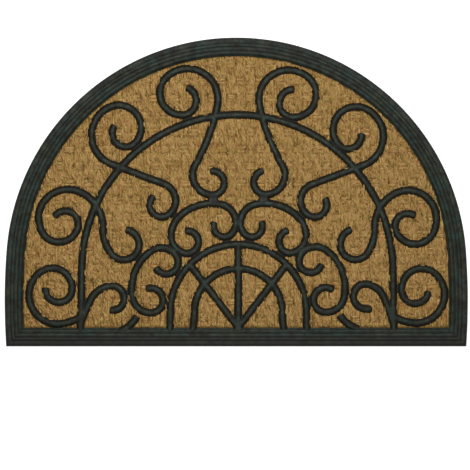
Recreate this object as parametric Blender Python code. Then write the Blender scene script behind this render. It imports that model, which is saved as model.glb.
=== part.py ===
"""Half-round doormat: a moulded rubber mat with wrought-iron style scrollwork over a coir panel.

Metres, +Z up. The mat lies flat, its straight edge towards -Y, with the origin under the
middle of its box. The rubber is one moulding: a back web, a ribbed border that rises towards
the coir, and ridges of scrollwork that lie over the coir and run into the border.
"""

import math
from typing import NamedTuple

import bmesh
import bpy
from mathutils import Vector

# The mat's outline: a crown arc, two flatter side arcs and a straight edge
WIDTH = 0.9144
DEPTH = 0.6096
CROWN_RADIUS = 0.4548
WIDEST_ABOVE_EDGE = 0.089
OUTLINE_SAG = 0.0002

# Heights above the floor
WEB = 0.003
CLEARANCE = 0.0003
COIR_TOP = 0.0082
RIDGE_BASE = COIR_TOP + CLEARANCE
RIDGE_TOP = 0.012
EDGE_HEIGHT = 0.0035

# The border, from the mat's edge inwards to the recess that holds the coir
BORDER_WIDTH = 0.0360
RECESS_DRAFT = 0.0004
COIR_INSET = BORDER_WIDTH + RECESS_DRAFT + CLEARANCE
COIR_CHAMFER = 0.0012

# One scrollwork ridge, across its base and at its shoulders
RIDGE_WIDTH = 0.0130
SHOULDER_WIDTH = 0.0092
SHOULDER_RISE = 0.0026
RIDGE_SAG = 0.0004

# Each ridge stands this much over the last one made, so that no two share a face's plane
STAGGER = 0.00001

# Points of the joined ridges that fall closer together than this are one point
WELD_DISTANCE = 0.000005

# How far a straight leg reaches into the border that it joins
SEAT = 0.004

# The arch and the fan: semicircles on legs, centred this far above the straight edge. Like
# each pair of scrolls, they stand a little right of the mat's middle line
ARCH_MIDDLE = 0.0020
ARCH_RADIUS = 0.307
ARCH_CENTRE = 0.150
ARCH_SPLAY = 0.0022
FAN_MIDDLE = 0.0040
FAN_CENTRE = 0.0670
FAN_OUTER_RADIUS = 0.1345
FAN_OUTER_SPLAY = 0.0005
FAN_INNER_RADIUS = 0.0869
FAN_INNER_SPLAY = 0.0035
SPOKE_LEAN = 37.5
SPOKE_APEX = 0.0374

# The collar between the top scroll and the heart scroll below it
COLLAR_X = -0.0495
COLLAR_CENTRE = 0.2915
COLLAR_WIDTH = 0.0176
COLLAR_LENGTH = 0.0130
COLLAR_RISE = 0.0024

RUBBER_COLOUR = (0.035, 0.042, 0.034, 1.0)
RUBBER_ROUGHNESS = 0.62
COIR_COLOUR = (0.279, 0.165, 0.054, 1.0)
COIR_ROUGHNESS = 0.95


class Step(NamedTuple):
    """One step of the border's section: where it ends, and its height there."""

    inward: float
    height: float


class Nose(NamedTuple):
    """One section near a ridge's blunt end: how far from the tip, and its share of full size."""

    before_tip: float
    scale: float


class Bend(NamedTuple):
    """One stretch of a scroll: its centre line's radius, and its turn, left being positive.

    Where the twin on the right stops sooner or later, it has a turn of its own.
    """

    radius: float
    turn: float
    right_turn: float | None = None


class Scroll(NamedTuple):
    """A scroll of the left half, followed both ways from one point on its centre line."""

    name: str
    outer_shift: tuple
    inner_shift: tuple
    x: float
    height: float
    heading: float
    outer: tuple
    inner: tuple


# Four ribs, each higher than the last, with a narrow groove inside each of the first three
BORDER_SECTION = (
    Step(0.0020, 0.0058),
    Step(0.0056, 0.0068),
    Step(0.0092, 0.0071),
    Step(0.0105, 0.0062),
    Step(0.0126, 0.0084),
    Step(0.0160, 0.0086),
    Step(0.0176, 0.0076),
    Step(0.0198, 0.0099),
    Step(0.0235, 0.0101),
    Step(0.0252, 0.0090),
    Step(0.0277, 0.0114),
    Step(0.0312, 0.0119),
    Step(0.0340, 0.0102),
    Step(BORDER_WIDTH, 0.0088),
)

NOSE_SECTIONS = (
    Nose(0.0045, 1.0),
    Nose(0.0014, 0.88),
    Nose(0.0, 0.55),
)

# A route's own points that stand closer to its tip than this give way to the nose
NOSE_ROOM = 0.0054

# Heights are above the straight edge, and x is from the line between a scroll and its twin.
# The shifts, at the outer eye and at the inner one, are how far that line stands right of the
# mat's middle, and how far the left scroll stands up from its drawn place and its twin down
SCROLLS = (
    Scroll(
        "top_scroll", (0.0029, 0.0028), (0.0056, -0.0010), -0.0415, 0.4757, 258.7,
        outer=(Bend(0.0593, 145.2), Bend(0.0442, 136.8), Bend(0.0280, 162.3, 184.8)),
        inner=(Bend(0.3901, -18.6), Bend(0.0392, 115.5), Bend(0.0240, 195.3, 173.8)),
    ),
    Scroll(
        "shoulder_scroll", (0.0010, 0.0022), (0.0042, -0.0002), -0.2485, 0.3585, 339.5,
        outer=(Bend(0.0607, -133.5), Bend(0.0450, -154.3), Bend(0.0264, -179.8, -153.7)),
        inner=(Bend(60.0, -0.105), Bend(0.0347, -120.5), Bend(0.0237, -180.0, -165.5)),
    ),
    Scroll(
        "side_scroll", (0.0002, 0.0027), (0.0073, -0.0008), -0.3136, 0.3044, 337.2,
        outer=(Bend(0.0569, 143.7), Bend(0.0390, 135.2), Bend(0.0252, 163.2, 142.6)),
        inner=(Bend(0.0741, -68.6), Bend(0.0853, 35.8), Bend(0.0301, 230.8, 221.3)),
    ),
    Scroll(
        "corner_scroll", (0.0014, 0.0013), (0.0007, -0.0012), -0.3471, 0.0457, 6.5,
        outer=(Bend(0.0564, -147.1), Bend(0.0393, -142.8), Bend(0.0261, -173.9, -165.2)),
        inner=(Bend(0.0962, 26.4),),
    ),
    Scroll(
        "hook_scroll", (0.0, -0.0028), (0.0072, -0.0009), -0.3098, 0.0444, 68.0,
        outer=(),
        inner=(Bend(14.4, -0.204), Bend(0.0480, -57.3), Bend(0.0245, -206.3, -215.6)),
    ),
    Scroll(
        "fan_side_scroll", (0.0039, -0.0005), (0.0045, -0.0014), -0.1728, 0.1890, 36.1,
        outer=(Bend(0.0920, 65.5), Bend(0.0368, 79.1), Bend(0.0244, 203.2, 219.7)),
        inner=(Bend(0.0350, -93.2), Bend(0.0231, -189.7, -199.6)),
    ),
    Scroll(
        "heart_scroll", (0.0033, 0.0002), (0.0049, -0.0006), -0.1160, 0.2569, 223.6,
        outer=(Bend(0.0916, -55.4), Bend(0.0371, -104.9), Bend(0.0209, -179.6, -182.3)),
        inner=(Bend(0.0562, 39.0), Bend(0.0357, 79.2), Bend(0.0224, 211.0, 190.5)),
    ),
    Scroll(
        "foot", (0.0056, -0.0024), (0.0045, -0.0008), -0.2363, 0.0312, 19.2,
        outer=(),
        inner=(Bend(0.0684, 40.3),),
    ),
)

# Scrolls whose first point is buried in the arch's leg or the border keep a plain end there
BURIED_STARTS = ("hook_scroll", "foot")
BURIED_ENDS = ("corner_scroll", "foot")


def arc_steps(radius: float, turn: float, sag: float) -> int:
    """Return how many straight steps keep an arc of `turn` degrees within `sag` of its curve."""
    step = 2.0 * math.acos(1.0 - sag / radius)
    return max(1, math.ceil(abs(math.radians(turn)) / step))


def outline(inset: float) -> list[tuple[float, float]]:
    """Return the mat's outline moved inwards by `inset`, anticlockwise from its right corner."""
    half_width = WIDTH / 2.0
    crown_centre = DEPTH - CROWN_RADIUS
    drop = crown_centre - WIDEST_ABOVE_EDGE
    side_radius = (drop**2 / (half_width - CROWN_RADIUS) + half_width + CROWN_RADIUS) / 2.0
    side_centre = half_width - side_radius
    joint_angle = math.degrees(math.asin(drop / (side_radius - CROWN_RADIUS)))
    side = side_radius - inset
    crown = CROWN_RADIUS - inset
    corner_angle = math.degrees(math.asin((inset - WIDEST_ABOVE_EDGE) / side))

    right = []
    for centre_x, centre_y, radius, start, end in (
        (side_centre, WIDEST_ABOVE_EDGE, side, corner_angle, 0.0),
        (side_centre, WIDEST_ABOVE_EDGE, side, 0.0, joint_angle),
        (0.0, crown_centre, crown, joint_angle, 90.0),
    ):
        steps = arc_steps(radius, end - start, OUTLINE_SAG)
        for i in range(steps):
            angle = math.radians(start + (end - start) * i / steps)
            right.append((centre_x + radius * math.cos(angle), centre_y + radius * math.sin(angle)))
    left = [(-x, y) for x, y in reversed(right)]
    points = right + [(0.0, crown_centre + crown)] + left
    return [(x, y - DEPTH / 2.0) for x, y in points]


def follow(x: float, height: float, heading: float, bends: tuple) -> list[Vector]:
    """Return the points of a run of bends from a start point and a heading in degrees."""
    points = [Vector((x, height))]
    for bend in bends:
        side = math.copysign(90.0, bend.turn)
        to_centre = math.radians(heading + side)
        centre = points[-1] + bend.radius * Vector((math.cos(to_centre), math.sin(to_centre)))
        steps = arc_steps(bend.radius, bend.turn, RIDGE_SAG)
        for i in range(1, steps + 1):
            angle = math.radians(heading - side + bend.turn * i / steps)
            points.append(centre + bend.radius * Vector((math.cos(angle), math.sin(angle))))
        heading += bend.turn
    return points


def as_on_right(bends: tuple) -> tuple:
    """Return a run of bends with the turns that it has on the right."""
    return tuple(Bend(bend.radius, bend.right_turn or bend.turn) for bend in bends)


def scroll_route(scroll: Scroll) -> list[Vector]:
    """Return a scroll's centre line from its outer eye to its inner one."""
    outer = follow(scroll.x, scroll.height, scroll.heading + 180.0, scroll.outer)
    inner = follow(scroll.x, scroll.height, scroll.heading, scroll.inner)
    return outer[:0:-1] + inner


def legged_arch(radius: float, centre: float, splay: float) -> list[Vector]:
    """Return a semicircle on two legs whose feet stand inside the border, `splay` further out."""
    foot = BORDER_WIDTH - SEAT
    arch = follow(radius, centre, 90.0, (Bend(radius, 180.0),))
    return [Vector((radius + splay, foot))] + arch + [Vector((-radius - splay, foot))]


def spoke(lean: float) -> list[Vector]:
    """Return a spoke of the fan from the border to the outer arc, leaning from upright."""
    direction = Vector((math.sin(math.radians(lean)), math.cos(math.radians(lean))))
    apex = Vector((0.0, SPOKE_APEX))
    foot = apex + direction * (BORDER_WIDTH - SEAT - SPOKE_APEX) / direction.y
    to_centre = Vector((0.0, FAN_CENTRE)) - foot
    along = to_centre.dot(direction)
    reach = along + math.sqrt(FAN_OUTER_RADIUS**2 - to_centre.length_squared + along**2)
    return [foot, foot + direction * reach]


def placed(route: list[Vector], first: tuple, last: tuple, side: float) -> list[Vector]:
    """Return a route in the mat's own frame, as drawn, or as its twin where `side` is -1.

    It is shifted by `first` at its first point and by `last` at its last.
    """
    runs = [0.0]
    for before, point in zip(route, route[1:]):
        runs.append(runs[-1] + (point - before).length)
    shifts = [Vector(first).lerp(Vector(last), run / runs[-1]) for run in runs]
    return [
        Vector((side * point.x + shift.x, point.y + side * shift.y - DEPTH / 2.0))
        for point, shift in zip(route, shifts)
    ]


def with_nose(sections: list[tuple[Vector, float]]) -> list[tuple[Vector, float]]:
    """Return the sections of a ridge with its last end narrowed to a blunt nose."""
    tip = sections[-1][0]
    back = (sections[-2][0] - tip).normalized()
    body = list(sections)
    while (body[-1][0] - tip).length < NOSE_ROOM:
        body.pop()
    return body + [(tip + back * nose.before_tip, nose.scale) for nose in NOSE_SECTIONS]


def ridge_section() -> bpy.types.Object:
    """Return the closed curve of a ridge's section, with its base on the local X axis."""
    shoulder = SHOULDER_WIDTH / 2.0
    base = RIDGE_WIDTH / 2.0
    corners = (
        (-base, 0.0),
        (base, 0.0),
        (shoulder, SHOULDER_RISE),
        (0.0, RIDGE_TOP - RIDGE_BASE),
        (-shoulder, SHOULDER_RISE),
    )
    curve = bpy.data.curves.new("ridge_section", "CURVE")
    curve.dimensions = "2D"
    curve.fill_mode = "NONE"
    spline = curve.splines.new("POLY")
    spline.points.add(len(corners) - 1)
    for point, (across, rise) in zip(spline.points, corners):
        point.co = (across, rise, 0.0, 1.0)
    spline.use_cyclic_u = True
    return bpy.data.objects.new("ridge_section", curve)


def meshed(source: bpy.types.Object, collection: bpy.types.Collection) -> bpy.types.Object:
    """Return a welded mesh object in place of a curve."""
    depsgraph = bpy.context.evaluated_depsgraph_get()
    mesh = bpy.data.meshes.new_from_object(source.evaluated_get(depsgraph))
    solid = bmesh.new()
    solid.from_mesh(mesh)
    bmesh.ops.remove_doubles(solid, verts=solid.verts, dist=WELD_DISTANCE)
    bmesh.ops.recalc_face_normals(solid, faces=solid.faces)
    solid.to_mesh(mesh)
    solid.free()
    name = source.name
    pose = source.matrix_world.copy()
    bpy.data.objects.remove(source)
    piece = bpy.data.objects.new(name, mesh)
    piece.matrix_world = pose
    collection.objects.link(piece)
    return piece


def make_ridge(
    name: str,
    sections: list[tuple[Vector, float]],
    profile: bpy.types.Object,
    collection: bpy.types.Collection,
) -> bpy.types.Object:
    """Sweep the ridge's section along a route, and return it as a closed mesh."""
    curve = bpy.data.curves.new(name, "CURVE")
    curve.dimensions = "3D"
    curve.twist_mode = "Z_UP"
    curve.bevel_mode = "OBJECT"
    curve.bevel_object = profile
    curve.use_fill_caps = True
    spline = curve.splines.new("POLY")
    spline.points.add(len(sections) - 1)
    base = RIDGE_BASE + STAGGER * len(collection.objects)
    for point, (place, scale) in zip(spline.points, sections):
        point.co = (place.x, place.y, base, 1.0)
        point.radius = scale
    sweep = bpy.data.objects.new(name, curve)
    collection.objects.link(sweep)
    return meshed(sweep, collection)


def make_collar(name: str, side: float, collection: bpy.types.Collection) -> bpy.types.Object:
    """Return the short block that ties a top scroll to the heart scroll below it."""
    bpy.ops.mesh.primitive_cube_add(
        size=1.0,
        location=(
            side * COLLAR_X + FAN_MIDDLE,
            COLLAR_CENTRE - DEPTH / 2.0,
            RIDGE_BASE + COLLAR_RISE / 2.0,
        ),
        scale=(COLLAR_WIDTH, COLLAR_LENGTH, COLLAR_RISE),
    )
    collar = bpy.context.object
    collar.name = name
    for owner in collar.users_collection:
        owner.objects.unlink(collar)
    collection.objects.link(collar)
    return collar


def make_scrollwork(collection: bpy.types.Collection) -> None:
    """Fill a collection with every ridge of the scrollwork."""
    profile = ridge_section()
    collection.objects.link(profile)
    for scroll in SCROLLS:
        twin = scroll._replace(outer=as_on_right(scroll.outer), inner=as_on_right(scroll.inner))
        for hand, side in (("left", 1.0), ("right", -1.0)):
            drawn = scroll_route(scroll if side > 0.0 else twin)
            route = placed(drawn, scroll.outer_shift, scroll.inner_shift, side)
            sections = [(point, 1.0) for point in route]
            if scroll.name not in BURIED_ENDS:
                sections = with_nose(sections)
            if scroll.name not in BURIED_STARTS:
                sections = with_nose(sections[::-1])[::-1]
            make_ridge(f"{scroll.name}_{hand}", sections, profile, collection)
    framework = {
        "arch": (legged_arch(ARCH_RADIUS, ARCH_CENTRE, ARCH_SPLAY), ARCH_MIDDLE),
        "fan_outer": (legged_arch(FAN_OUTER_RADIUS, FAN_CENTRE, FAN_OUTER_SPLAY), FAN_MIDDLE),
        "fan_inner": (legged_arch(FAN_INNER_RADIUS, FAN_CENTRE, FAN_INNER_SPLAY), FAN_MIDDLE),
        "spoke_middle": (spoke(0.0), FAN_MIDDLE),
        "spoke_left": (spoke(-SPOKE_LEAN), FAN_MIDDLE),
        "spoke_right": (spoke(SPOKE_LEAN), FAN_MIDDLE),
    }
    for name, (drawn, middle) in framework.items():
        route = placed(drawn, (middle, 0.0), (middle, 0.0), 1.0)
        make_ridge(name, [(point, 1.0) for point in route], profile, collection)
    bpy.data.objects.remove(profile)
    make_collar("collar_left", 1.0, collection)
    make_collar("collar_right", -1.0, collection)
    for guide in collection.objects:
        guide.hide_render = True
        guide.display_type = "WIRE"


def slab(inset: float, bottom: float, top: float) -> tuple[bmesh.types.BMesh, bmesh.types.BMFace]:
    """Return a flat slab of the mat's inset outline, and its top face."""
    solid = bmesh.new()
    base = solid.faces.new([solid.verts.new((x, y, bottom)) for x, y in outline(inset)])
    grown = bmesh.ops.extrude_face_region(solid, geom=[base])
    lifted = [item for item in grown["geom"] if isinstance(item, bmesh.types.BMVert)]
    bmesh.ops.translate(solid, verts=lifted, vec=(0.0, 0.0, top - bottom))
    bmesh.ops.recalc_face_normals(solid, faces=solid.faces)
    upper = next(item for item in grown["geom"] if isinstance(item, bmesh.types.BMFace))
    return solid, upper


def inset_top(solid: bmesh.types.BMesh, top: bmesh.types.BMFace, run: float, rise: float) -> None:
    """Draw a top face in by `run` and lift it by `rise`."""
    bmesh.ops.inset_region(
        solid, faces=[top], thickness=run, depth=rise, use_even_offset=True, use_boundary=True
    )


def finish_object(name: str, solid: bmesh.types.BMesh, collection: bpy.types.Collection) -> bpy.types.Object:
    """Return an object in a collection with the shape of a finished bmesh."""
    mesh = bpy.data.meshes.new(name)
    bmesh.ops.recalc_face_normals(solid, faces=solid.faces)
    solid.to_mesh(mesh)
    solid.free()
    piece = bpy.data.objects.new(name, mesh)
    collection.objects.link(piece)
    return piece


def paint(piece: bpy.types.Object, name: str, colour: tuple, roughness: float) -> None:
    """Give a piece its own material."""
    material = bpy.data.materials.new(name)
    material.use_nodes = True
    shader = material.node_tree.nodes["Principled BSDF"]
    shader.inputs["Base Color"].default_value = colour
    shader.inputs["Roughness"].default_value = roughness
    shader.inputs["Metallic"].default_value = 0.0
    piece.data.materials.append(material)


def make_rubber_moulding(
    parts: bpy.types.Collection, scrollwork: bpy.types.Collection
) -> bpy.types.Object:
    """Build the web and border, and join the scrollwork to them."""
    solid, top = slab(0.0, 0.0, EDGE_HEIGHT)
    last = Step(0.0, EDGE_HEIGHT)
    for step in BORDER_SECTION:
        inset_top(solid, top, step.inward - last.inward, step.height - last.height)
        last = step
    inset_top(solid, top, RECESS_DRAFT, WEB - last.height)
    moulding = finish_object("rubber_moulding", solid, parts)
    union = moulding.modifiers.new("scrollwork", "BOOLEAN")
    union.operation = "UNION"
    union.solver = "EXACT"
    union.operand_type = "COLLECTION"
    union.collection = scrollwork
    paint(moulding, "moulded_rubber", RUBBER_COLOUR, RUBBER_ROUGHNESS)
    return moulding


def make_coir_panel(parts: bpy.types.Collection) -> bpy.types.Object:
    """Build the flat coir panel that lies in the recess, its top edge eased."""
    solid, top = slab(COIR_INSET, WEB + CLEARANCE, COIR_TOP - COIR_CHAMFER)
    inset_top(solid, top, COIR_CHAMFER, COIR_CHAMFER)
    panel = finish_object("coir_panel", solid, parts)
    paint(panel, "woven_coir", COIR_COLOUR, COIR_ROUGHNESS)
    return panel


def main() -> None:
    """Build the mat."""
    for old in list(bpy.data.objects):
        bpy.data.objects.remove(old)
    parts = bpy.data.collections.new("half_round_doormat")
    cutters = bpy.data.collections.new("scrollwork_ridges")
    bpy.context.scene.collection.children.link(parts)
    bpy.context.scene.collection.children.link(cutters)
    make_scrollwork(cutters)
    make_rubber_moulding(parts, cutters)
    make_coir_panel(parts)


main()
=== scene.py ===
"""Half-round coir doormat, dressed for a picture taken from straight above.

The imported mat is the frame. Its rubber moulding gives way to a rounder border and scrollwork,
and its plain coir panel to woven yarns with loose fibres. Metres, +Z up, straight edge to -Y.
"""

import logging
import math
from dataclasses import dataclass, field
from enum import Enum
from typing import Callable, Iterator

import bmesh
import bpy
import numpy as np
from mathutils import Matrix, Vector, kdtree, noise

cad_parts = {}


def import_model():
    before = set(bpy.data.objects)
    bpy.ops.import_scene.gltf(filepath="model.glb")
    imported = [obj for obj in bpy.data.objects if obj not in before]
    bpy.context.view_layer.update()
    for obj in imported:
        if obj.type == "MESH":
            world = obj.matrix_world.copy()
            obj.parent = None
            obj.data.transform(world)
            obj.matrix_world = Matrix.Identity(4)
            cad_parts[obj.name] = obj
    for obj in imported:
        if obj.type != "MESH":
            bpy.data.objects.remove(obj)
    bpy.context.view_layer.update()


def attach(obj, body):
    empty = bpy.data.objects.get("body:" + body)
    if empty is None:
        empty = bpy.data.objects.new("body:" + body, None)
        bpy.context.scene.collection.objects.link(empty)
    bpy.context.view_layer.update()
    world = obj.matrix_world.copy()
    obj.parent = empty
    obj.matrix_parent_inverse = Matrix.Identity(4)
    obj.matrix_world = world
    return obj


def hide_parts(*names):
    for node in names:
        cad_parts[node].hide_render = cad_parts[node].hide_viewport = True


log = logging.getLogger("doormat")

BODY = "root"

Piece = bpy.types.Object
Socket = bpy.types.NodeSocket
Pair = tuple[float, float]
Triple = tuple[float, float, float]
Array = np.ndarray
Values = Array | float

SAME_PLACE = 1e-6


class Slot(Enum):
    """The record's material slots."""

    RUBBER = "rubber"
    COIR = "coir"


class Hand(Enum):
    """A side of the mat, by the sign of its X."""

    LEFT = -1.0
    RIGHT = 1.0


@dataclass(frozen=True)
class Step:
    """One point of a section: how far across it lies, and how high."""

    across: float
    height: float


@dataclass(frozen=True)
class Rib:
    """One rib of the border: where it starts and ends, its groove's height and its crest's."""

    start: float
    end: float
    groove: float
    crest: float


@dataclass(frozen=True)
class Bend:
    """One stretch of a ridge: its centre line's radius, and its turn, left being positive.

    Where the twin on the right stops sooner or later, it has a turn of its own.
    """

    radius: float
    turn: float
    right_turn: float | None = None

    def on(self, side: Hand) -> "Bend":
        """Return the bend as the ridge on one side of the mat has it."""
        if side is Hand.RIGHT and self.right_turn:
            return Bend(self.radius, self.right_turn)
        return Bend(self.radius, self.turn)

    def shortened(self, length: float) -> "Bend":
        """Return the same bend with that length taken off its end."""
        left = abs(self.turn) - math.degrees(length / self.radius)
        return Bend(self.radius, math.copysign(left, self.turn))


Bends = tuple[Bend, ...]


@dataclass(frozen=True)
class Scroll:
    """A scroll of the left half, followed both ways from one point on its centre line."""

    name: str
    outer_shift: Pair
    inner_shift: Pair
    x: float
    height: float
    heading: float
    outer: Bends
    inner: Bends


# Heights are above the straight edge, and x is from the line between a scroll and its twin.
# The shifts, at the outer eye and at the inner one, are how far that line stands right of the
# mat's middle, and how far the left scroll stands up from its drawn place and its twin down
SCROLLS = (
    Scroll(
        "top_scroll", (0.0029, 0.0028), (0.0056, -0.0010), -0.0415, 0.4757, 258.7,
        outer=(Bend(0.0593, 145.2), Bend(0.0442, 136.8), Bend(0.0280, 162.3, 184.8)),
        inner=(Bend(0.3901, -18.6), Bend(0.0392, 115.5), Bend(0.0240, 195.3, 173.8)),
    ),
    Scroll(
        "shoulder_scroll", (0.0010, 0.0022), (0.0042, -0.0002), -0.2485, 0.3585, 339.5,
        outer=(Bend(0.0607, -133.5), Bend(0.0450, -154.3), Bend(0.0264, -179.8, -153.7)),
        inner=(Bend(60.0, -0.105), Bend(0.0347, -120.5), Bend(0.0237, -180.0, -165.5)),
    ),
    Scroll(
        "side_scroll", (0.0002, 0.0027), (0.0073, -0.0008), -0.3136, 0.3044, 337.2,
        outer=(Bend(0.0569, 143.7), Bend(0.0390, 135.2), Bend(0.0252, 163.2, 142.6)),
        inner=(Bend(0.0741, -68.6), Bend(0.0853, 35.8), Bend(0.0301, 230.8, 221.3)),
    ),
    Scroll(
        "corner_scroll", (0.0014, 0.0013), (0.0007, -0.0012), -0.3471, 0.0457, 6.5,
        outer=(Bend(0.0564, -147.1), Bend(0.0393, -142.8), Bend(0.0261, -173.9, -165.2)),
        inner=(Bend(0.0962, 26.4),),
    ),
    Scroll(
        "hook_scroll", (0.0, -0.0028), (0.0072, -0.0009), -0.3098, 0.0444, 68.0,
        outer=(),
        inner=(Bend(14.4, -0.204), Bend(0.0480, -57.3), Bend(0.0245, -206.3, -215.6)),
    ),
    Scroll(
        "fan_side_scroll", (0.0039, -0.0005), (0.0045, -0.0014), -0.1728, 0.1890, 36.1,
        outer=(Bend(0.0920, 65.5), Bend(0.0368, 79.1), Bend(0.0244, 203.2, 219.7)),
        inner=(Bend(0.0350, -93.2), Bend(0.0231, -189.7, -199.6)),
    ),
    Scroll(
        "heart_scroll", (0.0033, 0.0002), (0.0049, -0.0006), -0.1160, 0.2569, 223.6,
        outer=(Bend(0.0916, -55.4), Bend(0.0371, -104.9), Bend(0.0209, -179.6, -182.3)),
        inner=(Bend(0.0562, 39.0), Bend(0.0357, 79.2), Bend(0.0224, 211.0, 190.5)),
    ),
    Scroll(
        "foot", (0.0056, -0.0024), (0.0045, -0.0008), -0.2363, 0.0312, 19.2,
        outer=(),
        inner=(Bend(0.0684, 40.3),),
    ),
)


def deselect_all() -> None:
    """Leave edit mode and select nothing."""
    if bpy.context.object and bpy.context.object.mode != "OBJECT":
        bpy.ops.object.mode_set(mode="OBJECT")
    bpy.ops.object.select_all(action="DESELECT")


def work_on(piece: Piece) -> None:
    """Make a piece the only selected one, and the active one."""
    deselect_all()
    piece.select_set(True)
    bpy.context.view_layer.objects.active = piece


def settle(piece: Piece) -> None:
    """Move a piece's place into its mesh, so that its object sits at the origin."""
    work_on(piece)
    bpy.ops.object.transform_apply(location=True, rotation=True, scale=True)


def apply_all(piece: Piece) -> None:
    """Apply each modifier of a piece in order."""
    work_on(piece)
    for modifier in list(piece.modifiers):
        bpy.ops.object.modifier_apply(modifier=modifier.name)


def add_object(name: str, data: bpy.types.ID) -> Piece:
    """Return a new object, put into the scene."""
    added = bpy.data.objects.new(name, data)
    bpy.context.scene.collection.objects.link(added)
    return added


def mark(mesh: bpy.types.Mesh, name: str, values: Array) -> None:
    """Give each point of a mesh a value of its own."""
    mesh.attributes.new(name, "FLOAT", "POINT").data.foreach_set("value", values.astype(np.float32))


def pick(piece: Piece, wanted: Callable[[Vector], bool]) -> None:
    """Select the points of a piece that pass a test, in edit mode."""
    work_on(piece)
    mesh = piece.data
    for face in mesh.polygons:
        face.select = False
    for corner in mesh.vertices:
        corner.select = wanted(corner.co)
    for edge in mesh.edges:
        edge.select = all(mesh.vertices[i].select for i in edge.vertices)
    bpy.ops.object.mode_set(mode="EDIT")


def edit(piece: Piece) -> None:
    """Take a piece into edit mode, with all of it selected."""
    work_on(piece)
    bpy.ops.object.mode_set(mode="EDIT")
    bpy.ops.mesh.select_all(action="SELECT")


def pin(name: str, place: Vector) -> Piece:
    """Return a piece that is one selected point, in edit mode."""
    deselect_all()
    bpy.ops.mesh.primitive_plane_add(size=0.001, location=place)
    piece = bpy.context.object
    piece.name = name
    settle(piece)
    edit(piece)
    bpy.ops.mesh.merge(type="CENTER")
    return piece


def face_outwards(piece: Piece) -> None:
    """Merge a piece's doubles and turn its faces outwards."""
    edit(piece)
    bpy.ops.mesh.remove_doubles(threshold=SAME_PLACE)
    bpy.ops.mesh.normals_make_consistent(inside=False)
    bpy.ops.object.mode_set(mode="OBJECT")


def dress(piece: Piece, material: bpy.types.Material, slot: Slot) -> None:
    """Give a piece its material and its body."""
    piece.data.materials.clear()
    piece.data.materials.append(material)
    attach(piece, BODY)
    piece.data.calc_loop_triangles()
    log.info("%s: %d triangles", piece.name, len(piece.data.loop_triangles))


def each_point(piece: Piece, what: str) -> Array:
    """Return the place or the normal of each point of a piece, one row a point."""
    values = np.empty(len(piece.data.vertices) * 3, np.float32)
    piece.data.vertices.foreach_get(what, values)
    return values.reshape(-1, 3)


def tree_of(points: list[Vector]) -> kdtree.KDTree:
    """Return a search tree of points."""
    tree = kdtree.KDTree(len(points))
    for i, point in enumerate(points):
        tree.insert(point, i)
    tree.balance()
    return tree


def smooth(share: Values) -> Values:
    """Return a share from 0 to 1, eased at both ends."""
    held = np.clip(share, 0.0, 1.0)
    return held * held * (3.0 - 2.0 * held)


def direction(heading: float) -> Vector:
    """Return the level unit vector of a heading in degrees."""
    return Vector((math.cos(math.radians(heading)), math.sin(math.radians(heading)), 0.0))


def bend_centre(place: Vector, heading: float, bend: Bend) -> Vector:
    """Return the point that a bend turns about."""
    return place + bend.radius * direction(heading + math.copysign(90.0, bend.turn))


def follow(place: Vector, heading: float, bends: Bends) -> list[Vector]:
    """Return points a few millimetres apart along a run of bends.

    Args:
        place: where the run starts.
        heading: its first direction, in degrees.
        bends: its stretches in order.

    Returns:
        The points, the start included.
    """
    spacing = 0.003
    points = [place]
    for bend in bends:
        centre = bend_centre(points[-1], heading, bend)
        arm = points[-1] - centre
        steps = max(1, round(bend.radius * abs(math.radians(bend.turn)) / spacing))
        for i in range(1, steps + 1):
            points.append(centre + Matrix.Rotation(math.radians(bend.turn * i / steps), 3, "Z") @ arm)
        heading += bend.turn
    return points


@dataclass
class MatOutline:
    """The mat's half-round outline: a crown arc, two flatter side arcs and a straight edge."""

    width: float = 0.9144
    depth: float = 0.6096
    crown_radius: float = 0.4548
    widest_above_edge: float = 0.089

    def __post_init__(self) -> None:
        """Work out where the arcs' centres lie, and the angle in radians at which they meet."""
        half = self.width / 2.0
        self.edge_y = -self.depth / 2.0
        self.crown_y = self.depth / 2.0 - self.crown_radius
        self.widest_y = self.edge_y + self.widest_above_edge
        drop = self.crown_y - self.widest_y
        self.side_radius = (drop**2 / (half - self.crown_radius) + half + self.crown_radius) / 2.0
        self.side_x = half - self.side_radius
        self.joint = math.asin(drop / (self.side_radius - self.crown_radius))

    def half_width(self, y: float, inset: float) -> float:
        """Return half the width of the outline, drawn in by inset, at a place along Y."""
        crown = self.crown_radius - inset
        if y > self.crown_y + crown * math.sin(self.joint):
            return math.sqrt(max(crown**2 - (y - self.crown_y) ** 2, 0.0))
        return self.side_x + math.sqrt((self.side_radius - inset) ** 2 - (y - self.widest_y) ** 2)

    def reach(self, x: float, inset: float) -> Pair:
        """Return where the outline, drawn in by inset, starts and ends along Y at an x."""
        crown = self.crown_radius - inset
        low = self.edge_y + inset
        if abs(x) <= crown * math.cos(self.joint):
            high = self.crown_y + math.sqrt(crown**2 - x**2)
        else:
            span = (self.side_radius - inset) ** 2 - (abs(x) - self.side_x) ** 2
            high = self.widest_y + math.sqrt(max(span, 0.0))
        if abs(x) > self.half_width(low, inset):
            low = 2.0 * self.widest_y - high
        return low, high

    def room(self, x: float, y: float, inset: float) -> float:
        """Return how far inside the outline, drawn in by inset, a place lies."""
        if y > self.crown_y + self.crown_radius - inset:
            return -1.0
        return min(y - self.edge_y - inset, self.half_width(y, inset) - abs(x))


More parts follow.
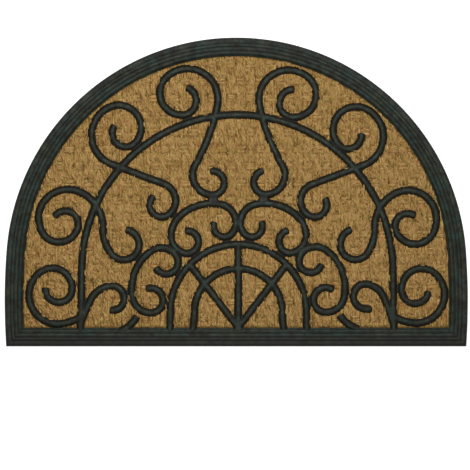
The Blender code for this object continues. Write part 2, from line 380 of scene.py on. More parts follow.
class Shader:
    """A material's node tree, with short ways to add what the finishes need."""

    FIRST_COLOUR = 6
    SECOND_COLOUR = 7
    MIXED_COLOUR = 2

    def __init__(self, name: str) -> None:
        """Start a material with its principled shader."""
        self.material = bpy.data.materials.new(name)
        self.material.use_nodes = True
        self.nodes = self.material.node_tree.nodes
        self.join = self.material.node_tree.links.new
        self.surface = self.nodes["Principled BSDF"]
        self.place = self.nodes.new("ShaderNodeTexCoord").outputs["Object"]

    def add(
        self, kind: str, inputs: dict[str | int, Socket | float | tuple[float, ...]], **settings: str | bool
    ) -> bpy.types.bpy_prop_collection:
        """Add a node, and return its outputs.

        Args:
            kind: the node's type.
            inputs: what each of its inputs is joined to, or the value it has all over.
            settings: its own settings.
        """
        node = self.nodes.new(kind)
        for name, value in settings.items():
            setattr(node, name, value)
        for name, value in inputs.items():
            if isinstance(value, Socket):
                self.join(value, node.inputs[name])
            else:
                node.inputs[name].default_value = value
        return node.outputs

    def noise(self, size: Triple, detail: float, roughness: float, lean: float = 0.0) -> Socket:
        """Return noise on the piece's own coordinates.

        Args:
            size: how large its grains are along each axis.
            detail: how many finer layers it has.
            roughness: how strong each finer layer is.
            lean: how far its grains are turned to the left, in degrees.
        """
        turn = (0.0, 0.0, math.radians(lean))
        place = {"Vector": self.place, "Scale": size, "Rotation": turn}
        grain = self.add("ShaderNodeMapping", place, vector_type="TEXTURE")["Vector"]
        layers = {"Vector": grain, "Scale": 1.0, "Detail": detail, "Roughness": roughness}
        return self.add("ShaderNodeTexNoise", layers)["Fac"]

    def spread(self, source: Socket, low: float, high: float, to_low: float, to_high: float) -> Socket:
        """Return a value with the range low to high spread over another range, and held there."""
        ranges = {"From Min": low, "From Max": high, "To Min": to_low, "To Max": to_high}
        return self.add("ShaderNodeMapRange", {"Value": source, **ranges})["Result"]

    def own(self, name: str) -> Socket:
        """Return a value that the piece's mesh holds at each point."""
        return self.add("ShaderNodeAttribute", {}, attribute_name=name)["Fac"]

    def sum(self, first: Socket, share: float, rest: Socket | float) -> Socket:
        """Return a share of one value added to another."""
        return self.add("ShaderNodeMath", {0: first, 1: share, 2: rest}, operation="MULTIPLY_ADD")[0]

    def product(self, first: Socket, second: Socket) -> Socket:
        """Return two values multiplied, held between 0 and 1."""
        return self.add("ShaderNodeMath", {0: first, 1: second}, operation="MULTIPLY", use_clamp=True)[0]

    def mixed(self, share: Socket, first: Triple, second: Triple | Socket) -> Socket:
        """Return two colours mixed."""
        other = second if isinstance(second, Socket) else (*second, 1.0)
        inputs = {0: share, self.FIRST_COLOUR: (*first, 1.0), self.SECOND_COLOUR: other}
        return self.add("ShaderNodeMix", inputs, data_type="RGBA")[self.MIXED_COLOUR]

    def raised(self, source: Socket, strength: float, height: float) -> None:
        """Raise the surface's fine relief from a value."""
        inputs = {"Height": source, "Strength": strength, "Distance": height}
        self.join(self.add("ShaderNodeBump", inputs)["Normal"], self.surface.inputs["Normal"])


@dataclass(frozen=True)
class RubberFinish:
    """Moulded black rubber, greyer along its crests and blacker down its flanks: partly real bloom, partly
    painted highlight on the crests and painted shade on the flanks.
    """

    # deep is the bare black, shown as painted shade where the share of bloom and highlight is low: down
    # ridge flanks and towards the straight edge.
    deep: Triple = (0.0082, 0.0072, 0.0036)
    # The two greyer crest colours: real bloom on the rubber, and partly a painted highlight.
    bloom: Triple = (0.0190, 0.0270, 0.0140)
    cool: Triple = (0.0090, 0.0270, 0.0190)
    roughness: float = 0.41
    unworn_roughness: float = 0.59
    specular: float = 0.22
    grain: float = 0.0026
    patch: float = 0.013
    hue_patch: float = 0.022
    relief: Pair = (0.35, 0.0006)

    def material(self, name: str) -> bpy.types.Material:
        """Return the material, which reads the piece's own share of bloom and painted highlight."""
        rubber = Shader(name)
        hue = rubber.spread(rubber.noise((self.hue_patch,) * 3, 3.0, 0.5), 0.42, 0.60, 0.0, 1.0)
        grain = rubber.noise((self.grain,) * 3, 4.0, 0.65)
        patches = rubber.noise((self.patch,) * 3, 4.0, 0.6)
        wear = rubber.spread(rubber.sum(patches, 0.6, rubber.sum(grain, 0.4, 0.0)), 0.42, 0.59, 0.0, 1.0)
        bloom = rubber.mixed(hue, self.bloom, self.cool)
        colour = rubber.mixed(rubber.product(rubber.own("bloom"), wear), self.deep, bloom)
        rough = rubber.spread(wear, 0.0, 1.0, self.unworn_roughness, self.roughness)
        rubber.join(colour, rubber.surface.inputs["Base Color"])
        rubber.join(rough, rubber.surface.inputs["Roughness"])
        rubber.surface.inputs["Specular IOR Level"].default_value = self.specular
        rubber.raised(grain, *self.relief)
        return rubber.material

    def dress(self, piece: Piece, bloom: Array) -> None:
        """Give a piece the rubber, with its share of bloom and painted highlight at each point; where the
        share is low the rubber is painted darker as shade.
        """
        mark(piece.data, "bloom", bloom)
        dress(piece, self.material(piece.name), Slot.RUBBER)


@dataclass(frozen=True)
class CoirFinish:
    """Coir: straw to rust brown from tuft to tuft, streaked along its fibres."""

    # The darkest coir colour: painted shade for the deep gaps between the yarns and where the backing shows.
    gap_shade: Triple = (0.105, 0.052, 0.012)
    dark: Triple = (0.225, 0.117, 0.028)
    middle: Triple = (0.408, 0.236, 0.072)
    pale: Triple = (0.575, 0.368, 0.142)
    rust: Triple = (0.430, 0.205, 0.066)
    olive: Triple = (0.330, 0.262, 0.052)
    roughness: float = 0.88
    specular: float = 0.25
    fibre_width: float = 0.0050
    fibre_length: float = 0.0150
    twist: float = 14.0
    cloud: float = 0.045
    rust_patch: float = 0.012
    olive_patch: float = 0.009
    olive_lean: float = 40.0
    relief: Pair = (0.8, 0.0008)

    def material(self, name: str, along_x: bool) -> bpy.types.Material:
        """Return the material, which reads the piece's own tone.

        Args:
            name: the material's name.
            along_x: whether the fibres run along X, and not along Y.
        """
        coir = Shader(name)
        wide, long = self.fibre_width, self.fibre_length
        streaks = coir.noise((long, wide, wide) if along_x else (wide, long, wide), 3.0, 0.6, self.twist)
        clouds = coir.noise((self.cloud,) * 3, 4.0, 0.5)
        shade = coir.sum(coir.own("tone"), 0.42, coir.sum(clouds, 0.25, coir.sum(streaks, 1.12, -0.17)))
        ramp = coir.nodes.new("ShaderNodeValToRGB")
        stops = ramp.color_ramp.elements
        stops[0].position = 0.30
        stops[0].color = (*self.gap_shade, 1.0)
        stops[1].position = 0.98
        stops[1].color = (*self.pale, 1.0)
        stops.new(0.48).color = (*self.dark, 1.0)
        stops.new(0.70).color = (*self.middle, 1.0)
        coir.join(shade, ramp.inputs["Fac"])
        straw = coir.spread(coir.noise((self.rust_patch,) * 3, 2.0, 0.5), 0.42, 0.58, 0.64, 1.0)
        olive_noise = coir.noise((self.olive_patch,) * 3, 2.0, 0.5, self.olive_lean)
        sound = coir.spread(olive_noise, 0.44, 0.60, 1.0, 0.68)
        colour = coir.mixed(sound, self.olive, coir.mixed(straw, self.rust, ramp.outputs["Color"]))
        coir.join(colour, coir.surface.inputs["Base Color"])
        coir.surface.inputs["Roughness"].default_value = self.roughness
        coir.surface.inputs["Specular IOR Level"].default_value = self.specular
        coir.raised(streaks, *self.relief)
        return coir.material


@dataclass
class RubberBorder:
    """The moulding's border and web: four rounded ribs, mitred at the two corners."""

    outline: MatOutline
    finish: RubberFinish
    edge_height: float = 0.0035
    ribs: tuple[Rib, ...] = (
        Rib(0.0000, 0.0105, 0.0035, 0.0071),
        Rib(0.0105, 0.0176, 0.0064, 0.0087),
        Rib(0.0176, 0.0252, 0.0079, 0.0102),
        Rib(0.0252, 0.0342, 0.0094, 0.0119),
    )
    rib_steps: int = 9
    squareness: float = 2.6
    fullness: float = 0.74
    last_groove: float = 0.0086
    recess: tuple[Step, ...] = (Step(0.0364, 0.0076), Step(0.0368, 0.0031))
    least_bloom: float = 0.95
    most_bloom: float = 1.0
    flank: float = 0.55
    flank_run: float = 0.44
    # The border's painted shade towards the straight edge: how strong it is, how far in it reaches, and how
    # soft its end is.
    straight_edge_shade: float = 0.85
    straight_edge_shade_to: float = 0.024
    straight_edge_shade_run: float = 0.008

    def section(self) -> Iterator[Step]:
        """Yield the section from the mat's edge inwards, rib by rib."""
        grooves = [rib.groove for rib in self.ribs[1:]] + [self.last_groove]
        for rib, after in zip(self.ribs, grooves):
            for i in range(1, self.rib_steps + 1):
                share = i / self.rib_steps
                bulge = (1.0 - abs(2.0 * share - 1.0) ** self.squareness) ** self.fullness
                floor = rib.groove + (after - rib.groove) * share
                across = rib.start + (rib.end - rib.start) * share
                yield Step(across, floor + (rib.crest - floor) * bulge)
        yield from self.recess

    def draw_outline(self) -> Piece:
        """Draw the outline by spinning one point round each arc, and fill it."""
        shape = self.outline
        corner = math.asin(shape.widest_above_edge / shape.side_radius)
        right = Vector((shape.side_x, shape.widest_y, 0.0))
        left = Vector((-shape.side_x, shape.widest_y, 0.0))
        crown = Vector((0.0, shape.crown_y, 0.0))
        border = pin("rubber_border", Vector((shape.half_width(shape.edge_y, 0.0), shape.edge_y, 0.0)))
        for centre, turn, steps in (
            (right, corner, 2),
            (right, shape.joint, 5),
            (crown, math.pi - 2.0 * shape.joint, 110),
            (left, shape.joint, 5),
            (left, corner, 2),
        ):
            bpy.ops.mesh.spin(steps=steps, angle=-turn, center=centre, axis=(0.0, 0.0, 1.0))
        bpy.ops.mesh.select_all(action="SELECT")
        bpy.ops.mesh.remove_doubles(threshold=SAME_PLACE)
        bpy.ops.mesh.edge_face_add()
        bpy.ops.object.mode_set(mode="OBJECT")
        return border

    def build(self) -> Piece:
        """Raise the outline's edge and draw its top in, step by step."""
        border = self.draw_outline()
        upwards = border.data.polygons[0].normal.z > 0.0
        bpy.ops.object.mode_set(mode="EDIT")
        if not upwards:
            bpy.ops.mesh.flip_normals()
        bpy.ops.mesh.extrude_region_move(TRANSFORM_OT_translate={"value": (0.0, 0.0, self.edge_height)})
        last = Step(0.0, self.edge_height)
        for step in self.section():
            bpy.ops.mesh.inset(
                thickness=step.across - last.across,
                depth=step.height - last.height,
                use_boundary=True,
                use_even_offset=True,
            )
            last = step
        face_outwards(border)
        bpy.ops.object.shade_smooth_by_angle(angle=math.radians(50.0))
        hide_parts("rubber_moulding")
        # Steep faces get a little less bloom and highlight than level ones: a slight painted shade down the
        # ribs' flanks.
        level = smooth((each_point(border, "normal")[:, 2] - self.flank) / self.flank_run)
        _, y, z = each_point(border, "co").T
        bloom = self.least_bloom + (self.most_bloom - self.least_bloom) * level
        # Painted shade: the border is painted darker towards the straight edge, where less light falls.
        bloom -= self.straight_edge_shade * smooth((self.outline.edge_y + self.straight_edge_shade_to - y) / self.straight_edge_shade_run)
        web = (z < self.edge_height) & (level > 0.9)
        self.finish.dress(border, np.where(web, 0.0, bloom))
        return border


@dataclass(frozen=True)
class Arch:
    """A half-round ridge on two legs, which bow out by its splay to their feet in the border.

    Its middle is measured from the mat's middle, and its centre from the straight edge.
    """

    name: str
    middle: float
    radius: float
    centre: float
    splay: float


@dataclass
class Scrollwork:
    """The ridges that lie over the coir: arch, fan and paired scrolls, fused where they meet."""

    outline: MatOutline
    finish: RubberFinish
    half_section: tuple[Step, ...] = (
        Step(0.0088, 0.0055),
        Step(0.0081, 0.0070),
        Step(0.0070, 0.0080),
        Step(0.0058, 0.0088),
        Step(0.0048, 0.0098),
        Step(0.0041, 0.0110),
        Step(0.0033, 0.0118),
        Step(0.0018, 0.0122),
    )
    # Heights at which a ridge's painted shade on its flanks gives way to bloom and painted highlight on its
    # crest.
    bloom_and_highlight_from: float = 0.0107
    bloom_and_highlight_full: float = 0.0121
    sag: float = 0.00005
    nose: float = 0.0045
    seat: float = 0.0302
    arch: Arch = Arch("arch", 0.0020, 0.307, 0.150, 0.0022)
    fan: Arch = Arch("fan_outer", 0.0040, 0.1345, 0.0670, 0.0005)
    inner_fan: Arch = Arch("fan_inner", 0.0040, 0.0869, 0.0670, 0.0035)
    spoke_lean: float = 37.5
    spoke_apex: float = 0.0374
    collar_x: float = 0.0495
    collar_height: float = 0.2915
    voxel: float = 0.0013
    kept: float = 0.38
    waver: float = 0.0009
    waver_size: float = 0.0040
    collar_size: Triple = (0.0180, 0.0132, 0.0052)
    collar_middle: float = 0.0086
    collar_round: float = 0.0012
    routes: list[Vector] = field(default_factory=list)
    ridges: list[Piece] = field(default_factory=list)

    def __post_init__(self) -> None:
        """Draw the section that every ridge is swept from."""
        self.section = self.draw_section()

    def draw_section(self) -> Piece:
        """Return the ridge's section, a loop that faces along Y, drawn point by point."""
        left = [(-step.across, step.height) for step in self.half_section]
        points = left + [(-across, height) for across, height in reversed(left)]
        loop = pin("ridge_section", Vector((points[0][0], 0.0, points[0][1])))
        for here, then in zip(points, points[1:]):
            bpy.ops.mesh.extrude_region_move(
                TRANSFORM_OT_translate={"value": (then[0] - here[0], 0.0, then[1] - here[1])}
            )
        bpy.ops.mesh.select_all(action="SELECT")
        bpy.ops.mesh.edge_face_add()
        bpy.ops.mesh.delete(type="ONLY_FACE")
        bpy.ops.object.mode_set(mode="OBJECT")
        return loop

    def sweep(self, place: Vector, heading: float, bends: Bends, nosed: bool) -> None:
        """Spin the selected section along bends, and close its end, in edit mode.

        Args:
            place: where the section stands.
            heading: its direction, in degrees.
            bends: the stretches to follow.
            nosed: whether the end narrows to a blunt nose.
        """
        if nosed:
            bends = bends[:-1] + (bends[-1].shortened(self.nose),)
        for bend in bends:
            centre = bend_centre(place, heading, bend)
            turn = math.radians(bend.turn)
            steps = math.ceil(abs(turn) / (2.0 * math.acos(1.0 - self.sag / bend.radius)))
            bpy.ops.mesh.spin(steps=steps, angle=-turn, center=centre, axis=(0.0, 0.0, 1.0))
            place = centre + Matrix.Rotation(turn, 3, "Z") @ (place - centre)
            heading += bend.turn
        if nosed:
            for stride, size in ((0.45, 0.95), (0.35, 0.82), (0.20, 0.55)):
                move = direction(heading) * self.nose * stride
                place = place + move
                bpy.ops.mesh.extrude_region_move(TRANSFORM_OT_translate={"value": move})
                bpy.ops.transform.resize(
                    value=(size, size, 0.7 + 0.3 * size),
                    center_override=(place.x, place.y, self.half_section[0].height),
                )
        bpy.ops.mesh.edge_face_add()

    def ridge(
        self, name: str, place: Vector, heading: float, ahead: Bends, behind: Bends = (), nosed: bool = False
    ) -> Piece:
        """Return a ridge that follows bends ahead of its start, and behind it.

        Args:
            name: the ridge's name.
            place: its start.
            heading: its direction at the start, in degrees.
            ahead: the stretches ahead of the start.
            behind: the stretches behind it, none where the ridge starts with a flat end.
            nosed: whether the ridge's last stretch ahead ends in a nose.
        """
        ridge = add_object(name, self.section.data.copy())
        turn = Matrix.Rotation(math.radians(heading - 90.0), 4, "Z")
        ridge.data.transform(Matrix.Translation(place) @ turn)
        edit(ridge)
        self.sweep(place, heading, ahead, nosed)
        wide = self.half_section[0].across * 1.1

        def at_start(corner: Vector) -> bool:
            away = Vector((corner.x - place.x, corner.y - place.y, 0.0))
            return abs(away.dot(direction(heading))) < 1e-5 and away.length < wide

        pick(ridge, at_start)
        if behind:
            self.sweep(place, heading + 180.0, behind, True)
        else:
            bpy.ops.mesh.edge_face_add()
        bpy.ops.object.mode_set(mode="OBJECT")
        return ridge

    def scroll(self, scroll: Scroll, side: Hand) -> None:
        """Add a scroll as drawn for the left half, or its twin on the right."""
        place = Vector((scroll.x, self.outline.edge_y + scroll.height, 0.0))
        ahead = tuple(bend.on(side) for bend in scroll.inner)
        behind = tuple(bend.on(side) for bend in scroll.outer)
        name = f"{scroll.name}_{side.name.lower()}"
        ridge = self.ridge(name, place, scroll.heading, ahead, behind, len(ahead) > 1)
        outer = follow(place, scroll.heading + 180.0, behind)
        route = outer[:0:-1] + follow(place, scroll.heading, ahead)
        near = tree_of(route)

        def moved(spot: Vector, share: float) -> Vector:
            right, up = Vector(scroll.outer_shift).lerp(Vector(scroll.inner_shift), share)
            return Vector((right - side.value * spot.x, spot.y - side.value * up, spot.z))

        for corner in ridge.data.vertices:
            nearest = near.find((corner.co.x, corner.co.y, 0.0))[1]
            corner.co = moved(corner.co, nearest / len(route))
        self.routes += [moved(point, i / len(route)) for i, point in enumerate(route)]
        self.ridges.append(ridge)

    def add(self, name: str, start: Vector, heading: float, bends: Bends) -> None:
        """Add a ridge with two flat ends."""
        self.routes += follow(start, heading, bends)
        self.ridges.append(self.ridge(name, start, heading, bends))

    def legged_arch(self, arch: Arch) -> None:
        """Add an arch and its two legs, as one ridge."""
        leg = arch.centre - self.seat
        bow = leg**2 / (2.0 * arch.splay)
        slight = Bend(bow, -math.degrees(leg / bow))
        foot = Vector((arch.middle + arch.radius + arch.splay, self.outline.edge_y + self.seat, 0.0))
        self.add(arch.name, foot, 90.0 - slight.turn, (slight, Bend(arch.radius, 180.0), slight))

    def spoke(self, name: str, lean: float) -> None:
        """Add a spoke of the fan, from the border to the outer arc."""
        along = direction(90.0 - lean)
        apex = Vector((self.fan.middle, self.outline.edge_y + self.spoke_apex, 0.0))
        foot = apex + along * (self.seat - self.spoke_apex) / along.y
        centre = Vector((self.fan.middle, self.outline.edge_y + self.fan.centre, 0.0))
        run = (centre - foot).dot(along)
        length = run + math.sqrt(self.fan.radius**2 - (centre - foot).length_squared + run**2)
        nearly_straight = 60.0
        self.add(name, foot, 90.0 - lean, (Bend(nearly_straight, math.degrees(length / nearly_straight)),))

    def collar(self, side: Hand) -> None:
        """Add the short block that ties a top scroll to the heart scroll below it."""
        deselect_all()
        x = self.fan.middle + side.value * self.collar_x
        place = (x, self.outline.edge_y + self.collar_height, self.collar_middle)
        bpy.ops.mesh.primitive_cube_add(size=1.0, location=place, scale=self.collar_size)
        block = bpy.context.object
        settle(block)
        edit(block)
        bpy.ops.mesh.bevel(offset=self.collar_round, segments=2, affect="EDGES")
        bpy.ops.object.mode_set(mode="OBJECT")
        self.ridges.append(block)

    def fused(self) -> Piece:
        """Return the ridges as one piece, with their joints rounded."""
        for ridge in self.ridges:
            face_outwards(ridge)
        deselect_all()
        for ridge in self.ridges:
            ridge.select_set(True)
        bpy.context.view_layer.objects.active = self.ridges[0]
        bpy.ops.object.join()
        work = bpy.context.object
        work.name = "rubber_scrollwork"
        fuse = work.modifiers.new("fuse", "REMESH")
        fuse.mode = "VOXEL"
        fuse.voxel_size = self.voxel
        ease = work.modifiers.new("ease", "SMOOTH")
        ease.factor = 0.5
        ease.iterations = 4
        thin = work.modifiers.new("thin", "DECIMATE")
        thin.ratio = self.kept
        apply_all(work)
        for corner in work.data.vertices:
            aside = noise.noise_vector(corner.co / self.waver_size) * self.waver
            corner.co.x += aside.x
            corner.co.y += aside.y
        bpy.ops.object.shade_smooth()
        return work

    def build(self) -> Piece:
        """Sweep every ridge and fuse them."""
        for scroll in SCROLLS:
            for side in Hand:
                self.scroll(scroll, side)
        for arch in (self.arch, self.fan, self.inner_fan):
            self.legged_arch(arch)
        self.spoke("middle_spoke", 0.0)
        for side in Hand:
            self.spoke(f"{side.name.lower()}_spoke", side.value * self.spoke_lean)
            self.collar(side)
        bpy.data.objects.remove(self.section)
        work = self.fused()
        height = each_point(work, "co")[:, 2]
        span = self.bloom_and_highlight_full - self.bloom_and_highlight_from
        # The share of bloom and painted highlight rises with height: crests greyer as painted highlight,
        # flanks left black as painted shade.
        self.finish.dress(work, smooth((height - self.bloom_and_highlight_from) / span))
        return work


@dataclass(frozen=True)
class Strand:
    """A yarn or fibre: its centre line's points, with half width, half height and tone at each."""

    line: Array
    half_width: Array
    half_height: Array
    tone: Array


def bundle(name: str, strands: Iterator[Strand], sides: int) -> Piece:
    """Return strands as one piece, each a closed tube.

    Args:
        name: the piece's name.
        strands: the yarns or fibres.
        sides: how many sides a tube has.
    """
    angles = np.arange(sides) * math.tau / sides + math.tau / 8.0
    here = np.arange(sides)
    beside = (here + 1) % sides
    places: list[Array] = []
    tones: list[Array] = []
    faces: list[list[int]] = []
    count = 0
    for strand in strands:
        along = np.gradient(strand.line, axis=0)
        along /= np.linalg.norm(along, axis=1, keepdims=True)
        across = np.cross(along, (0.0, 0.0, 1.0))
        across /= np.linalg.norm(across, axis=1, keepdims=True)
        up = np.cross(across, along)
        wide = (strand.half_width[:, None] * np.cos(angles))[..., None]
        high = (strand.half_height[:, None] * np.sin(angles))[..., None]
        ring = strand.line[:, None] + across[:, None] * wide + up[:, None] * high
        places.append(ring.reshape(-1, 3))
        tones.append(np.repeat(strand.tone, sides))
        rings = len(strand.line)
        first = count + np.arange(rings - 1)[:, None] * sides
        corners = (first + here, first + sides + here, first + sides + beside, first + beside)
        faces += np.stack(corners, axis=-1).reshape(-1, 4).tolist()
        faces.append((count + here).tolist())
        faces.append((count + (rings - 1) * sides + here[::-1]).tolist())
        count += rings * sides
    mesh = bpy.data.meshes.new(name)
    mesh.from_pydata(np.concatenate(places), [], faces)
    mark(mesh, "tone", np.concatenate(tones))
    mesh.shade_smooth()
    return add_object(name, mesh)


@dataclass(frozen=True)
class Yarn:
    """A set of yarns in pairs, with how far each strays, rises and swells along its run."""

    offset: float
    half_width: float
    half_height: float
    over: float
    under: float
    step: float
    stray: float
    rise: float
    swell: Pair


WARP = Yarn(0.0023, 0.0024, 0.0016, 0.0068, 0.0047, 0.0062, 0.0008, 0.00016, swell=(0.12, 0.08))
WEFT = Yarn(0.0031, 0.0032, 0.0014, 0.0069, 0.0046, 0.0052, 0.0007, 0.00012, swell=(0.07, 0.07))


@dataclass(frozen=True)
class FibreSizes:
    """The ranges of a loose fibre's length, of its lift off the yarns and of its half width."""

    length: Pair
    lift: Pair
    half_width: Pair


class Fibre(Enum):
    """A kind of loose fibre, with its sizes."""

    TUFT = FibreSizes((0.008, 0.015), (-0.0004, 0.0001), (0.0010, 0.0021))
    # Short dark tufts near the ties' ends: painted shade for the holes where the warp dives; they lie a
    # little higher than the rest so that they show.
    SHADED_TUFT = FibreSizes((0.007, 0.010), (0.0001, 0.0006), (0.0010, 0.0014))
    HAIR = FibreSizes((0.008, 0.028), (0.0, 0.0009), (0.00011, 0.0002))


@dataclass
class CoirPanel:
    """The woven coir: pairs of warp yarns with long floats, tied down by pairs of weft yarns."""

    outline: MatOutline
    finish: CoirFinish
    scrollwork: Scrollwork
    inset: float = 0.0372
    ragged: float = 0.0035
    ground_bottom: float = 0.0033
    ground_top: float = 0.0055
    # The backing's low tone makes it read dark: painted shade in the gaps between the yarns and beside the
    # border.
    ground_shade_tone: float = -0.3
    flat: Pair = (0.841, 0.536)
    area: float = 0.374
    pair_pitch: float = 0.0094
    row_pitch: float = 0.0335
    tie_half: float = 0.0064
    repeat: float = 4.0
    shows_to: float = 0.0115
    shows_run: float = 0.0045
    dips_from: float = 0.0118
    dips_run: float = 0.0062
    untied_rise: float = 0.0003
    press: float = 0.0017
    pressed_from: float = 0.0130
    pressed_run: float = 0.0050
    pressed_edge: float = 0.0045
    climb: Pair = (0.0066, 0.0104)
    frayed: float = 0.0075
    frayed_size: float = 0.0065
    steepest: float = 0.0046
    over_edge: Pair = (-0.0012, 0.0030)
    yarn_sides: int = 6
    tuft_count: int = 8200
    hair_count: int = 3400
    fibre_flatness: float = 0.45
    fibre_taper: float = 0.45
    root_depth: float = 0.0008
    upright_spread: float = 20.0
    level_spread: float = 9.0
    bow: float = 0.12
    upright_tone: float = 0.93
    level_tone: float = 1.06
    tone_drop: Pair = (2.2, 0.18)
    # The shaded tufts near the ties' ends: how much darker they are, their share of the tufts there, and
    # where they lie.
    shade_drop: float = 0.7
    shaded_share: float = 0.42
    shaded_half: float = 0.0105
    shaded_band: Pair = (0.02, 0.60)
    level_from: float = 0.6
    upright_to: float = 0.1
    level_to: float = 0.3
    warp_room: float = 0.001
    weft_room: float = 0.02
    long_wave: Pair = (0.09, 0.16)
    short_wave: Pair = (0.025, 0.05)
    thickness: Pair = (0.93, 1.07)
    yarn_tones: Pair = (0.30, 0.65)
    yarn_tone_spread: float = 0.22
    seed: int = 7

    def __post_init__(self) -> None:
        """Seed the yarns' irregularity, and gather the ridges that press them down."""
        self.random = np.random.default_rng(self.seed)
        self.ridges = tree_of(self.scrollwork.routes)

    def from_ridge(self, x: Array, y: Array) -> Array:
        """Return how far each place is from the nearest ridge's middle line."""
        return np.array([self.ridges.find((a, b, 0.0))[2] for a, b in zip(x, y)])

    def from_border(self, x: Array, y: Array) -> Array:
        """Return how far inside the panel's edge each place is."""
        return np.array([self.outline.room(a, b, self.inset) for a, b in zip(x, y)])

    def pressed(self, x: Array, y: Array) -> Array:
        """Return how far the cloth is pressed down beside the ridges and the border."""
        by_ridge = smooth((self.pressed_from - self.from_ridge(x, y)) / self.pressed_run)
        by_border = smooth((self.pressed_edge - self.from_border(x, y)) / self.pressed_edge)
        return self.press * np.maximum(by_ridge, by_border)

    def skirt(self, from_ridge: Array) -> Array:
        """Return a ridge's height at each distance from its middle line."""
        steps = self.scrollwork.half_section[::-1]
        return np.interp(from_ridge, [step.across for step in steps], [step.height for step in steps])

    def row_y(self, row: Values) -> Values:
        """Return where a weft row lies."""
        return self.outline.edge_y + self.inset + (row + 0.5) * self.row_pitch

    def rows(self, y: Values) -> Values:
        """Return the nearest weft row."""
        return np.round((y - self.outline.edge_y - self.inset) / self.row_pitch - 0.5)

    def weft_shows(self, x: Values, row: Values) -> Values:
        """Return how far a weft row lies over the warp at x: two pairs over, two under."""
        half = self.repeat / 2.0
        off = np.abs((x / self.pair_pitch + 1.0 + half * row) % self.repeat - half) * self.pair_pitch
        return smooth((self.shows_to - off) / self.shows_run)

    def warp_height(self, pair: Array, y: Array) -> Array:
        """Return the height of a warp pair's centre line along Y."""
        row = self.rows(y)
        near = smooth((self.dips_from - np.abs(y - self.row_y(row))) / self.dips_run)
        half = self.repeat / 2.0
        tied = (pair + half * row) % self.repeat < half
        return WARP.over + near * np.where(tied, WARP.under - WARP.over, self.untied_rise)

    def weft_height(self, x: Array, row: Values) -> Array:
        """Return the height of a weft row's centre line along X."""
        return WEFT.under + (WEFT.over - WEFT.under) * self.weft_shows(x, row)

    def cloth_top(self, x: Array, y: Array) -> Array:
        """Return the height of the yarns' tops."""
        row = self.rows(y)
        warp = self.warp_height(np.floor(x / self.pair_pitch), y) + WARP.half_height
        weft = self.weft_height(x, row) + WEFT.half_height
        on_row = np.abs(y - self.row_y(row)) < self.tie_half
        return np.where(on_row, np.maximum(warp, weft), warp) - self.pressed(x, y)

    def on_tie(self, x: Values, y: Values) -> Values:
        """Return how far each place is on a tie, where the weft lies over the warp."""
        row = self.rows(y)
        return self.weft_shows(x, row) * (np.abs(y - self.row_y(row)) < self.tie_half)

    def tuft(self, x: float, y: float) -> Fibre:
        """Return the kind of tuft at a place: near a tie's ends some are short and dark, painted shade for
        the holes where the warp dives under the weft.
        """
        row = self.rows(y)
        low, high = self.shaded_band
        at_end = abs(y - self.row_y(row)) < self.shaded_half and low < self.weft_shows(x, row) < high
        return Fibre.SHADED_TUFT if at_end and self.random.uniform() < self.shaded_share else Fibre.TUFT

    def wander(self, run: Array, size: float) -> Array:
        """Return a slow sideways wander of a yarn along its run."""
        long, short = self.random.uniform(*self.long_wave), self.random.uniform(*self.short_wave)
        first, second = self.random.uniform(0.0, math.tau, 2)
        slow = np.sin(run * math.tau / long + first) + 0.6 * np.sin(run * math.tau / short + second)
        return size * slow + self.random.normal(0.0, size * 0.35, len(run))

    def uneven(self, count: int, size: float, spread: float) -> Array:
        """Return a size for each point of a yarn, thick and thin by turns."""
        return size * self.random.uniform(*self.thickness) * self.random.normal(1.0, spread, count)

    def yarn(self, kind: Yarn, number: int, middle: float, low: float, high: float) -> Strand:
        """Return one yarn, which starts and ends a little short of the panel's edge.

        Args:
            kind: the set it belongs to.
            number: the number of its pair.
            middle: where it lies, across its run.
            low: where the panel starts along its run.
            high: where the panel ends along its run.
        """
        draw, normal = self.random.uniform, self.random.normal
        low, high = low + draw(0.0, self.ragged), high - draw(0.0, self.ragged)
        count = max(4, round((high - low) / kind.step))
        run = np.linspace(low, high, count)
        away = middle + self.wander(run, kind.stray)
        if kind is WARP:
            x, y, height = away, run, self.warp_height(np.full(count, float(number)), run)
        else:
            x, y, height = run, away, self.weft_height(run, float(number))
        height = height + normal(0.0, kind.rise, count) - self.pressed(x, y)
        line = np.stack([x, y, height], axis=1)
        half_width = self.uneven(count, kind.half_width, kind.swell[0])
        half_height = self.uneven(count, kind.half_height, kind.swell[1])
        tone = draw(*self.yarn_tones) + normal(0.0, self.yarn_tone_spread, count)
        return Strand(line, half_width, half_height, tone)

    def warp(self) -> Iterator[Strand]:
        """Yield the warp yarns, which run from the straight edge to the crown."""
        pairs = math.ceil(self.outline.width / 2.0 / self.pair_pitch)
        widest = self.outline.half_width(self.outline.widest_y, self.inset)
        for pair in range(-pairs, pairs):
            for offset in (-WARP.offset, WARP.offset):
                x = (pair + 0.5) * self.pair_pitch + offset
                if abs(x) <= widest - self.warp_room:
                    yield self.yarn(WARP, pair, x, *self.outline.reach(x, self.inset))

    def weft(self) -> Iterator[Strand]:
        """Yield the weft yarns, which run from side to side."""
        for row in range(math.ceil(self.outline.depth / self.row_pitch)):
            for offset in (-WEFT.offset, WEFT.offset):
                y = self.row_y(row) + offset
                if self.outline.room(0.0, y, self.inset) >= self.weft_room:
                    half = self.outline.half_width(y, self.inset)
                    yield self.yarn(WEFT, row, y, -half, half)

